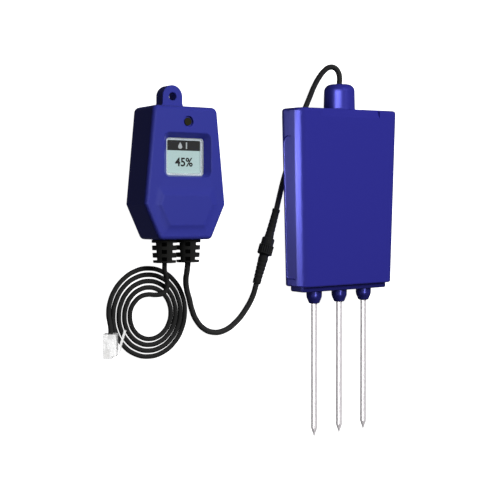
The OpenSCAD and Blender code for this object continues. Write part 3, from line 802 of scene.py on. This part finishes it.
lip_levels = [(-LIP_H, 3.3), (-LIP_H + 0.25, 2.9), (-LIP_H + 0.6, 2.72), (0.2, 2.7)]
PIN_HOLE_R = 1.55
plate = solid(
    "plate",
    case_loft([*lip_levels, (0.2001, 2.1), (2, 2.1)]),
    adds=[case_loft([(1.9, 3.4), (3.7, 3.4)]), case_loft([(3.6, 2.1), (6, 2.1)])],
    cuts=[along_y(prism(circle(PIN_HOLE_R, sides=32), 0, 12), x, -LIP_H - 1, PIN_Z) for x in PIN_XS],
)
piece("base_lid", plate, "base_blue", PROBE, replaces=["base_plate"])

collar_profile = [
    (PIN_HOLE_R, 0), (4.55, 0), (4.4, 0.35), (4.35, 2.6), (4.25, 3.4), (4.05, 4.1), (3.7, 4.9), (3.2, 6.1),
    (3.0, 6.6), (2.7, 6.9), (2.3, 7), (PIN_HOLE_R, 7),
]
collars = joined(
    moved(
        lathe(collar_profile, 64, closed=True),
        Matrix.Translation((x, -LIP_H, PIN_Z)) @ Matrix.Rotation(math.pi / 2, 4, "X"),
    )
    for x in PIN_XS
)
piece("pin_collar_domes", collars, "base_blue", PROBE, replaces=["pin_collars"])


# Modular plug, in its own frame: Y along it, contacts towards -X and latch towards +X.
IN_PLUG = Matrix.Translation(PLUG) @ Matrix.Rotation(-PLUG_ROLL, 4, "Y")
thick = PLUG_SIZE[0] / 2
long = PLUG_SIZE[1]
wide = PLUG_SIZE[2] / 2
contact_rows = [(k - 2.5) * CONTACT_PITCH for k in range(6)]


def contact_groove(z):
    """The cutter of the groove over one contact."""
    return block((-thick - 1, -long - 1, z - 0.25), (2.4 - thick, 4 - long, z + 0.25), 0.02)


plug_body = solid(
    "plug_body",
    block((-thick, -long, -wide), (thick, 0, wide), 0.25),
    cuts=[
        block((thick - 2.2, -long - 1, -wide - 1), (thick + 1, -long + 1.1, wide + 1), 0.05),
        along_y(prism(circle(DATA_CORD_D / 2 + 0.15, sides=32), 0, 4), 0, -3, 0),
        block((-thick - 1, -8.3, 1.6 - wide), (1.2 - thick, -4.7, wide - 1.6), 0.2),
        *(contact_groove(z) for z in contact_rows),
    ],
)
plug_piece = piece("plug_housing", plug_body, "plug_clear", IN_PLUG, replaces=["network_plug_body"])
arm_r = LATCH_T / 2
arm = [(arm_r, 0), (arm_r, LATCH_L - 0.2), (0.3 - arm_r, LATCH_L), (-arm_r, LATCH_L - 0.4), (-arm_r, 0)]
root_turns = [math.pi * k / 8 for k in range(1, 8)]
arm += [(-arm_r * math.cos(a), -arm_r * math.sin(a)) for a in root_turns]
latch = prism([(Vector(p), Vector((0, 0))) for p in arm], -LATCH_W / 2, LATCH_W / 2)
latch_place = IN_PLUG @ Matrix.Translation((thick + 0.1 + arm_r, 2.6 - long, 0))
latch_place = latch_place @ Matrix.Rotation(-LATCH_TILT, 4, "Z")
latch_piece = piece("plug_latch", latch, "plug_clear", latch_place, "latch", ["network_plug_latch"])


# Stage: a white floor that lights nothing, and soft lamps.
def floor():
    """A plain white floor just under the object."""
    reach, level = 2.0, -0.0002
    corners = [(-reach, -reach), (reach, -reach), (reach, reach), (-reach, reach)]
    mesh = bpy.data.meshes.new("floor")
    mesh.from_pydata([(x, y, level) for x, y in corners], [], [(0, 1, 2, 3)])
    white = finish("floor_white", (0.8, 0.8, 0.8), 0.9, Emission_Color=(1, 1, 1, 1), Emission_Strength=1.0)
    mesh.materials.append(white)
    made = bpy.data.objects.new("floor", mesh)
    bpy.context.scene.collection.objects.link(made)
    made.visible_diffuse = False
    made.visible_glossy = False


def lamp(name, place, target, size, power, diffuse=True, glossy=True, only=()):
    """A rectangular soft lamp turned to a point. It can be left out of matt light or of highlights,
    and it can light only some pieces."""
    data = bpy.data.lights.new(name, "AREA")
    data.shape = "RECTANGLE"
    data.size, data.size_y = size
    data.energy = power
    made = bpy.data.objects.new(name, data)
    made.location = place
    made.rotation_mode = "QUATERNION"
    made.rotation_quaternion = (Vector(target) - Vector(place)).to_track_quat("-Z", "Y")
    made.visible_camera = False
    made.visible_diffuse = diffuse
    made.visible_glossy = glossy
    bpy.context.scene.collection.objects.link(made)
    if only:
        lit = bpy.data.collections.new(name + " lights")
        for one in only:
            lit.objects.link(bpy.data.objects[one])
        made.light_linking.receiver_collection = lit
        made.light_linking.blocker_collection = lit


floor()
WHOLE_MIDDLE = (0.0525, -0.02, 0.01)
READER_MIDDLE = (0, 0, 0.02)
PROBE_MIDDLE = (0.1, -0.02, 0.01)
PIN_MIDDLE = (0.1, -0.1, 0.01)
PALE_MIDDLE = (0.03, -0.05, 0.01)
COLLARS = ["pin_collar_domes"]
SHELLS = ["reader_front_shell", "reader_rear_shell"]
ROUND_PIECES = ["gland_dome", *COLLARS]
PROBE_PIECES = ["probe_shell", "base_lid"]
PIN_PIECES = ["pin_left", "pin_centre", "pin_right"]
PALE_PIECES = [*PIN_PIECES, "plug_housing", "plug_latch", "display_frame", "display_panel"]
FILL_PIECES = PROBE_PIECES + ROUND_PIECES + PIN_PIECES
lamp("key", (0.30, 0.35, 0.80), WHOLE_MIDDLE, (0.5, 0.5), 7.4, glossy=False)
lamp("reader_strip", (-0.12, -0.02, 0.75), READER_MIDDLE, (0.12, 0.9), 1.6, diffuse=False, only=SHELLS)
lamp("probe_strip", (-0.5, -0.02, 0), PROBE_MIDDLE, (0.05, 0.9), 8.5, diffuse=False, only=PROBE_PIECES)
lamp("dome_strip", (-0.36, 0.05, 0.45), PROBE_MIDDLE, (0.06, 0.5), 8, diffuse=False, only=ROUND_PIECES)
lamp("probe_fill", (-0.10, -0.02, 0.16), PROBE_MIDDLE, (0.1, 0.5), 0.22, glossy=False, only=FILL_PIECES)
lamp("collar_spot", (-0.03, -0.10, 0.50), PIN_MIDDLE, (0.04, 0.04), 3.0, diffuse=False, only=COLLARS)
lamp("pin_panel", (-0.30, -0.10, 0.35), PIN_MIDDLE, (0.5, 0.5), 3.0, diffuse=False, only=PIN_PIECES)
lamp("pale_fill", (-0.25, -0.10, 0.60), PALE_MIDDLE, (0.5, 0.5), 3.0, glossy=False, only=PALE_PIECES)

# The sky looks white to the camera and lights the object only faintly.
world = bpy.data.worlds.new("studio")
world.use_nodes = True
bpy.context.scene.world = world
sky = world.node_tree.nodes["Background"]
rays = world.node_tree.nodes.new("ShaderNodeLightPath")
brightness = world.node_tree.nodes.new("ShaderNodeMapRange")
brightness.inputs["To Min"].default_value = 0.06
brightness.inputs["To Max"].default_value = 1.0
world.node_tree.links.new(rays.outputs["Is Camera Ray"], brightness.inputs["Value"])
world.node_tree.links.new(brightness.outputs["Result"], sky.inputs["Strength"])
sky.inputs["Color"].default_value = (1, 1, 1, 1)
bpy.context.scene.view_settings.view_transform = "Standard"

# Camera: 33 degrees to the left of straight above, and a little towards the object's top.
CAMERA_AIM = Vector((0.0525, -0.04075, 0))
CAMERA_DISTANCE = 0.6435
CAMERA_YAW = math.radians(33)
CAMERA_PITCH = math.radians(1.86)
right = Vector((math.cos(CAMERA_YAW), 0, math.sin(CAMERA_YAW)))
level_part = math.cos(CAMERA_PITCH)
forward = Vector(
    (math.sin(CAMERA_YAW) * level_part, -math.sin(CAMERA_PITCH), -math.cos(CAMERA_YAW) * level_part)
)
up = right.cross(forward)
camera = bpy.data.objects.new("camera", bpy.data.cameras.new("camera"))
camera.data.sensor_width = 36
camera.data.lens = 84.24
camera.data.clip_start = 0.01
turn = Matrix((right, up, -forward)).transposed().to_4x4()
camera.matrix_world = Matrix.Translation(CAMERA_AIM - forward * CAMERA_DISTANCE) @ turn
bpy.context.scene.collection.objects.link(camera)
bpy.context.scene.camera = camera
